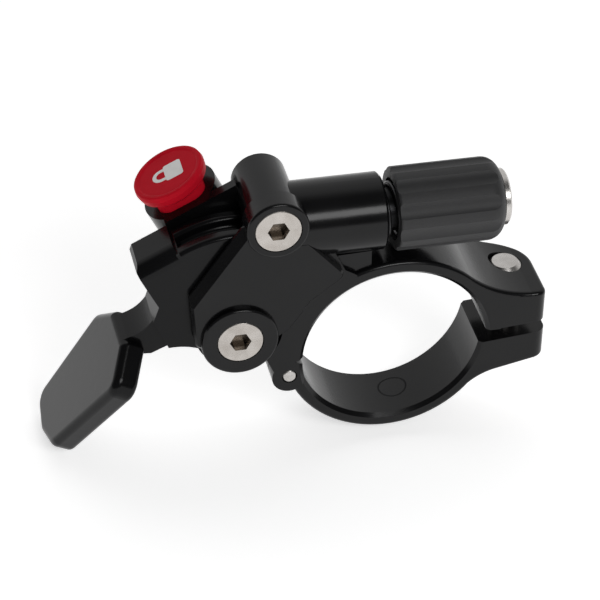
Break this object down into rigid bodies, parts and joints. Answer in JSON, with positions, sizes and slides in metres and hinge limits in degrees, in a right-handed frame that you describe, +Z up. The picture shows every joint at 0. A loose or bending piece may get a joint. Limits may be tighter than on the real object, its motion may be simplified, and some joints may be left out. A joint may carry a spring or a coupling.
{
  "type": "fork lockout lever",
  "caption": "Bar clamped remote lever with a thumb paddle, a cable drum, a release button and a cable adjuster",
  "frame": {"origin": "on the axis of the bar bore, at the middle of the clamp strap's width", "axes": "+Y along the bar axis away from the cover, +X from the bore to the clamp ears, +Z up, towards the cable barrel"},
  "size_m": [0.0602, 0.018, 0.0372],
  "materials": {
    "casting": "gloss black paint on cast alloy",
    "bright_steel": "bright machined steel",
    "plain_steel": "plain steel",
    "bearing_brass": "turned brass",
    "bearing_plastic": "natural plastic",
    "red_button": "red anodised aluminium",
    "black_alloy": "black anodised aluminium",
    "knob_rubber": "matt black rubber"
  },
  "bodies": {
    "bracket": {"body": "casting", "front_cover": "casting", "hinge_pin": "bright_steel", "pinch_bolt": "bright_steel", "cover_screw": "bright_steel", "pivot_screw": "bright_steel", "pivot_sleeve": "bearing_brass", "rear_washer": "bearing_plastic", "pawl_pin": "plain_steel", "return_spring": "plain_steel", "pawl_spring": "plain_steel", "button_spring": "plain_steel", "adjuster_spring": "plain_steel"},
    "strap": {"clamp_strap": "casting"},
    "lever": {"thumb_lever": "casting", "catch_plate": "plain_steel", "catch_rivets": "plain_steel", "front_washer": "bearing_plastic"},
    "button": {"release_button": "red_button"},
    "pawl_arm": {"pawl": "plain_steel"},
    "socket_slide": {"housing_socket": "bright_steel"},
    "adjuster": {"adjuster_screw": "black_alloy", "adjuster_knob": "knob_rubber"}
  },
  "joints": [
    {"name": "lever_press", "type": "hinge", "parent": "bracket", "child": "lever", "pos_m": [-0.0189, 0, 0.0055], "axis": [0, -1, 0], "range_deg": [0, 28], "stiffness_Nm_per_rad": 0.05, "springref_deg": -28.65, "deforming": ["return_spring"]},
    {"name": "button_press", "type": "slide", "parent": "bracket", "child": "button", "axis": [0.4478, 0, -0.8942], "range_m": [0, 0.001], "stiffness_N_per_m": 1000, "springref_m": -0.001, "deforming": ["button_spring"]},
    {"name": "pawl_turn", "type": "hinge", "parent": "bracket", "child": "pawl_arm", "pos_m": [-0.02154, 0.001, 0.01346], "axis": [0, 1, 0], "range_deg": [0, 18.6], "deforming": ["pawl_spring"]},
    {"name": "strap_close", "type": "hinge", "parent": "bracket", "child": "strap", "pos_m": [-0.0127, 0, -0.0017], "axis": [0, -1, 0], "range_deg": [0, 2.5]},
    {"name": "knob_turn", "type": "hinge", "parent": "socket_slide", "child": "adjuster", "pos_m": [0.01, -0.0031, 0.01805], "axis": [1, 0, 0], "range_deg": [0, 1350.1]},
    {"name": "adjuster_slide", "type": "slide", "parent": "bracket", "child": "socket_slide", "axis": [1, 0, 0], "range_m": [0, 0.003], "deforming": ["adjuster_spring"]}
  ],
  "couplings": [
    {"joint": "pawl_turn", "follows": "button_press", "rad_per_m": 322.9},
    {"joint": "knob_turn", "follows": "adjuster_slide", "rad_per_m": 7854}
  ]
}
